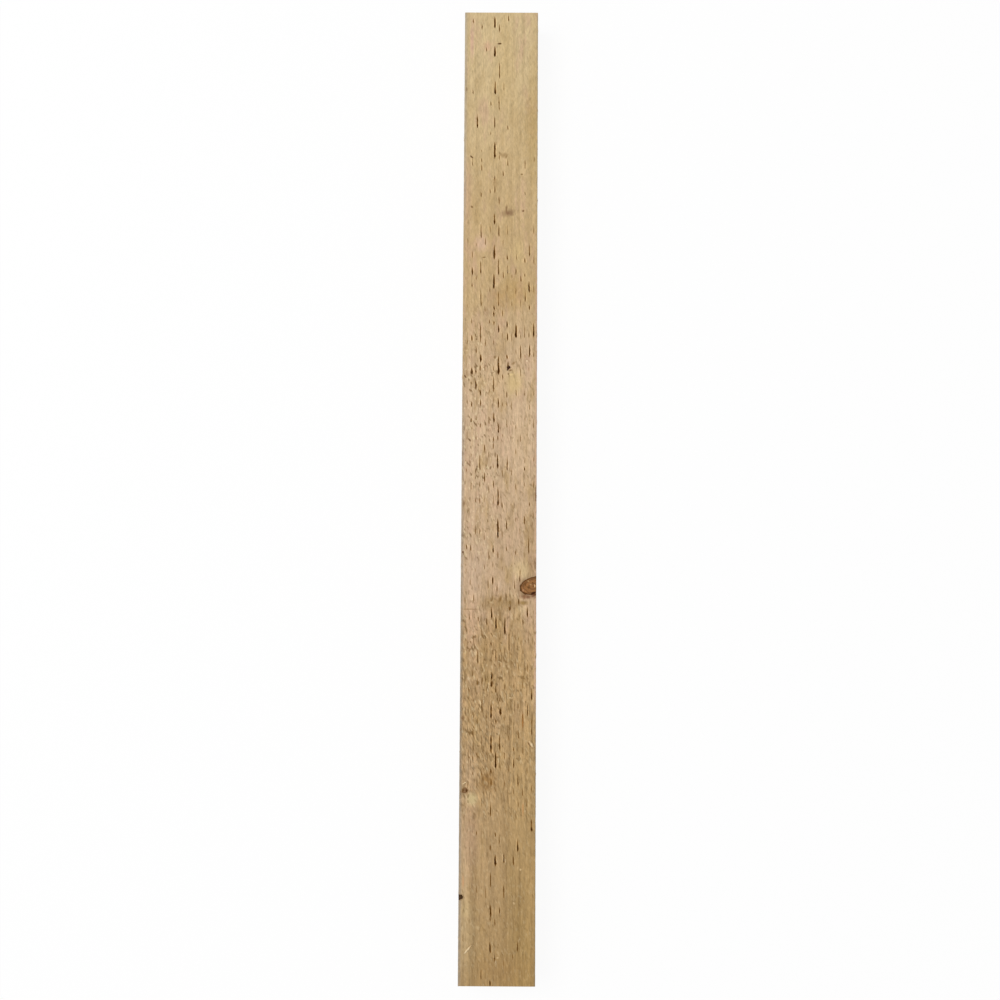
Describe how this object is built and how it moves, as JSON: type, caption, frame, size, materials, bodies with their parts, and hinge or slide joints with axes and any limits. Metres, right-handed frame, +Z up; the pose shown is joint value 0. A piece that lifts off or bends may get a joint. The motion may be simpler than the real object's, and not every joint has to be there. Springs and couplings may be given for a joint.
{
  "type": "timber stud",
  "caption": "Straight length of sawn, pressure-treated softwood with a rectangular section, square-cut ends and staggered incising slits; an upright for wall and fence framing.",
  "frame": {"origin": "centre of the underside, on the floor that the stud lies on", "axes": "+Y along the length, towards the end at the top of the picture; +X across the wide face, to the right in the picture; +Z up, out of the face that the picture shows"},
  "size_m": [0.075, 0.975, 0.047],
  "materials": {
    "timber": "rough sawn, treated"
  },
  "bodies": {
    "root": {"stud": "timber"}
  },
  "joints": []
}
